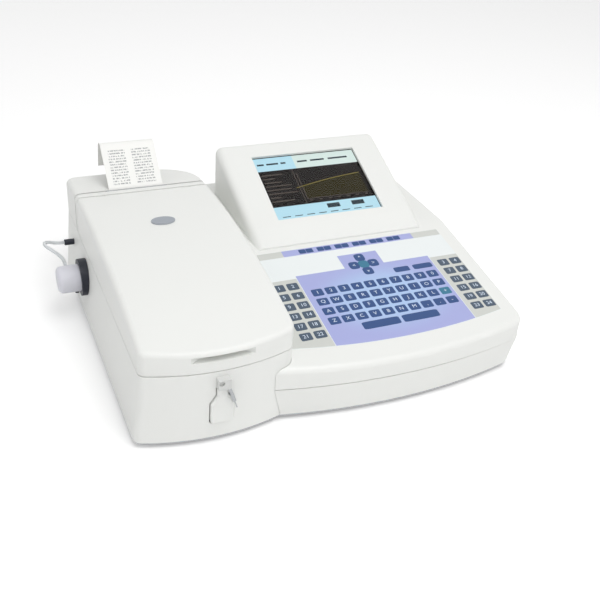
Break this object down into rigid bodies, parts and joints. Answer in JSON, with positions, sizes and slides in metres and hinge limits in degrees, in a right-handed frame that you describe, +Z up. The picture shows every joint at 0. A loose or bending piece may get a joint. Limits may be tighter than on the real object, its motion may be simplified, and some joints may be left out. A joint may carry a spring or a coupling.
{
  "type": "bench-top chemistry analyser",
  "caption": "Bench-top clinical chemistry analyser: tower with arched lid, strip printer, sipping probe and tubing pump beside a sloping membrane keyboard with a wedge display.",
  "frame": {"origin": "middle of the footprint on the bench, under the feet", "axes": "+X to the right, +Y to the back, +Z up"},
  "size_m": [0.4229, 0.342, 0.1537],
  "materials": {
    "case_plastic": "moulded, fine satin texture",
    "dark_plastic": "moulded, near-black navy",
    "grey_plastic": "moulded grey",
    "pale_plastic": "moulded pale grey",
    "keyboard_film": "printed polyester film",
    "badge_plate": "satin grey oval, bare",
    "clear_lens": "clear acrylic",
    "display_panel": "liquid crystal panel",
    "cup_plastic": "translucent moulded cup",
    "hose_silicone": "translucent silicone",
    "black_rubber": "matt rubber",
    "paper": "thermal paper",
    "steel": "ground steel",
    "aluminium": "milled, clear anodised",
    "circuit_board": "green solder mask",
    "filter_glass": "coated interference filters"
  },
  "bodies": {
    "root": {"tower_case": "case_plastic", "printer_bridge": "case_plastic", "base_shell": "case_plastic", "keyboard_deck": "case_plastic", "display_bezel": "case_plastic", "display_housing": "case_plastic", "base_tray": "steel", "lid_hinge_pin": "steel", "cover_hinge_pin": "steel", "case_screws": "steel", "rubber_feet": "black_rubber", "keyboard_overlay": "keyboard_film", "display_lens": "clear_lens", "lcd_panel": "display_panel", "printer_frame": "steel", "print_head": "dark_plastic", "printer_motor": "steel", "roll_spindle": "grey_plastic", "tear_bar": "steel", "probe_block": "pale_plastic", "probe_sleeve": "steel", "probe_needle": "steel", "paddle_pin": "steel", "microswitch": "dark_plastic", "pump_flange": "dark_plastic", "pump_motor": "steel", "pump_cup": "cup_plastic", "pump_hose": "hose_silicone", "inlet_hose": "hose_silicone", "outlet_hose": "hose_silicone", "hose_sleeves": "dark_plastic", "optics_bench": "aluminium", "lamp_housing": "aluminium", "lamp": "clear_lens", "wheel_motor": "steel", "flow_cell": "dark_plastic", "detector_board": "circuit_board", "main_board": "circuit_board", "power_supply": "circuit_board", "rear_panel": "aluminium", "fan_frame": "dark_plastic", "mains_inlet": "dark_plastic", "rocker_frame": "dark_plastic", "serial_port": "steel"},
    "lid": {"tower_lid": "case_plastic", "lid_badge": "badge_plate"},
    "cover": {"printer_cover": "case_plastic", "paper_strip": "paper"},
    "platen": {"platen_roller": "black_rubber", "platen_shaft": "steel"},
    "roll": {"paper_roll": "paper"},
    "paddle": {"switch_paddle": "case_plastic"},
    "rotor": {"pump_rotor": "grey_plastic"},
    "roller_a": {"pump_roller_a": "steel"},
    "roller_b": {"pump_roller_b": "steel"},
    "roller_c": {"pump_roller_c": "steel"},
    "wheel": {"filter_wheel": "aluminium", "filter_glasses": "filter_glass"},
    "fan": {"fan_rotor": "dark_plastic"},
    "rocker": {"power_rocker": "dark_plastic"}
  },
  "joints": [
    {"name": "lid_hinge", "type": "hinge", "parent": "root", "child": "lid", "pos_m": [-0.10875, 0.097, 0.11663], "axis": [-1, 0, 0], "range_deg": [0, 75]},
    {"name": "cover_hinge", "type": "hinge", "parent": "root", "child": "cover", "pos_m": [-0.12375, 0.165, 0.0828], "axis": [-1, 0, 0], "range_deg": [0, 80]},
    {"name": "platen_spin", "type": "hinge", "parent": "root", "child": "platen", "pos_m": [-0.114, 0.1148, 0.105], "axis": [1, 0, 0], "continuous": true},
    {"name": "roll_spin", "type": "hinge", "parent": "root", "child": "roll", "pos_m": [-0.114, 0.126, 0.078], "axis": [1, 0, 0], "continuous": true},
    {"name": "paddle_hinge", "type": "hinge", "parent": "root", "child": "paddle", "pos_m": [-0.11, -0.1565, 0.055], "axis": [1, 0, 0], "range_deg": [0, 3], "stiffness_Nm_per_rad": 0.5, "springref_deg": -2.86},
    {"name": "pump_spin", "type": "hinge", "parent": "root", "child": "rotor", "pos_m": [-0.198, 0.063, 0.048], "axis": [1, 0, 0], "continuous": true},
    {"name": "roller_a_spin", "type": "hinge", "parent": "rotor", "child": "roller_a", "pos_m": [-0.198, 0.069, 0.048], "axis": [1, 0, 0], "continuous": true},
    {"name": "roller_b_spin", "type": "hinge", "parent": "rotor", "child": "roller_b", "pos_m": [-0.198, 0.06, 0.0532], "axis": [1, 0, 0], "continuous": true},
    {"name": "roller_c_spin", "type": "hinge", "parent": "rotor", "child": "roller_c", "pos_m": [-0.198, 0.06, 0.0428], "axis": [1, 0, 0], "continuous": true},
    {"name": "filter_wheel_spin", "type": "hinge", "parent": "root", "child": "wheel", "pos_m": [-0.0955, -0.082, 0.072], "axis": [1, 0, 0], "continuous": true},
    {"name": "fan_spin", "type": "hinge", "parent": "root", "child": "fan", "pos_m": [0.019, 0.1585, 0.046], "axis": [0, 1, 0], "continuous": true},
    {"name": "power_switch", "type": "hinge", "parent": "root", "child": "rocker", "pos_m": [0.121, 0.162, 0.046], "axis": [0, 0, -1], "range_deg": [0, 20]}
  ],
  "couplings": [
    {"joint": "roll_spin", "follows": "platen_spin", "ratio": 0.21429},
    {"joint": "roller_a_spin", "follows": "pump_spin", "ratio": -3.4},
    {"joint": "roller_b_spin", "follows": "pump_spin", "ratio": -3.4},
    {"joint": "roller_c_spin", "follows": "pump_spin", "ratio": -3.4}
  ]
}
